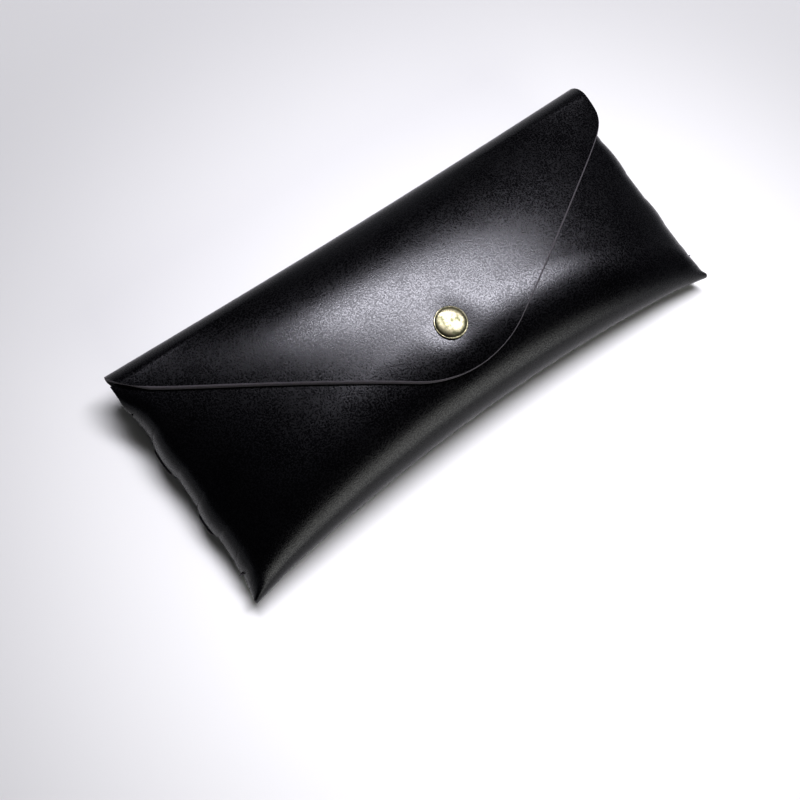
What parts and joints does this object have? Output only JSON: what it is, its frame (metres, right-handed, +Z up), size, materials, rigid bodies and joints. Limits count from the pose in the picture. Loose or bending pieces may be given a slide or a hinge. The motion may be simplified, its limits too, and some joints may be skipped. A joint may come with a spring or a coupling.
{
  "type": "glasses case",
  "caption": "Soft leather pouch for glasses: one folded sheet held at the sides by drawn-through tabs, with a pointed flap closed by a press stud.",
  "frame": {"origin": "middle of the case at table level, the case lying on its back", "axes": "+X along the length, +Y towards the fold the flap turns on, +Z up out of the front"},
  "size_m": [0.175, 0.0746, 0.0326],
  "materials": {
    "back_panel": "smooth black satin leather, raw cut edges, suede flesh side",
    "bottom_fold": "smooth black satin leather, raw cut edges, suede flesh side",
    "front_panel": "smooth black satin leather, raw cut edges, suede flesh side",
    "hinge_fold_lower": "smooth black satin leather, raw cut edges, suede flesh side",
    "hinge_fold_upper": "smooth black satin leather, raw cut edges, suede flesh side",
    "flap": "smooth black satin leather, raw cut edges, suede flesh side",
    "left_tab_1": "smooth black satin leather, raw cut edges, suede flesh side",
    "left_tab_2": "smooth black satin leather, raw cut edges, suede flesh side",
    "left_tab_3": "smooth black satin leather, raw cut edges, suede flesh side",
    "left_tab_4": "smooth black satin leather, raw cut edges, suede flesh side",
    "right_tab_1": "smooth black satin leather, raw cut edges, suede flesh side",
    "right_tab_2": "smooth black satin leather, raw cut edges, suede flesh side",
    "right_tab_3": "smooth black satin leather, raw cut edges, suede flesh side",
    "right_tab_4": "smooth black satin leather, raw cut edges, suede flesh side",
    "snap_cap": "aged polished brass",
    "snap_socket": "aged polished brass",
    "snap_stud": "aged polished brass",
    "snap_post": "aged polished brass",
    "snap_spring": "plain spring steel"
  },
  "bodies": {
    "pouch": {"back_panel": "back_panel", "bottom_fold": "bottom_fold", "front_panel": "front_panel", "left_tab_1": "left_tab_1", "left_tab_2": "left_tab_2", "left_tab_3": "left_tab_3", "left_tab_4": "left_tab_4", "right_tab_1": "right_tab_1", "right_tab_2": "right_tab_2", "right_tab_3": "right_tab_3", "right_tab_4": "right_tab_4", "snap_stud": "snap_stud", "snap_post": "snap_post"},
    "fold_lower": {"hinge_fold_lower": "hinge_fold_lower"},
    "fold_upper": {"hinge_fold_upper": "hinge_fold_upper"},
    "flap": {"flap": "flap", "snap_cap": "snap_cap", "snap_socket": "snap_socket", "snap_spring": "snap_spring"}
  },
  "joints": [
    {"name": "fold_low_bend", "type": "hinge", "parent": "pouch", "child": "fold_lower", "pos_m": [0, 0.03375, 0.004], "axis": [-1, 0, 0], "range_deg": [0, 55]},
    {"name": "fold_middle_bend", "type": "hinge", "parent": "fold_lower", "child": "fold_upper", "pos_m": [0, 0.0375, 0.0105], "axis": [-1, 0, 0], "range_deg": [0, 55]},
    {"name": "flap_bend", "type": "hinge", "parent": "fold_upper", "child": "flap", "pos_m": [0, 0.03375, 0.01699], "axis": [-1, 0, 0], "range_deg": [0, 55]}
  ],
  "couplings": [
    {"joint": "fold_middle_bend", "follows": "fold_low_bend", "ratio": 1},
    {"joint": "flap_bend", "follows": "fold_low_bend", "ratio": 1}
  ]
}
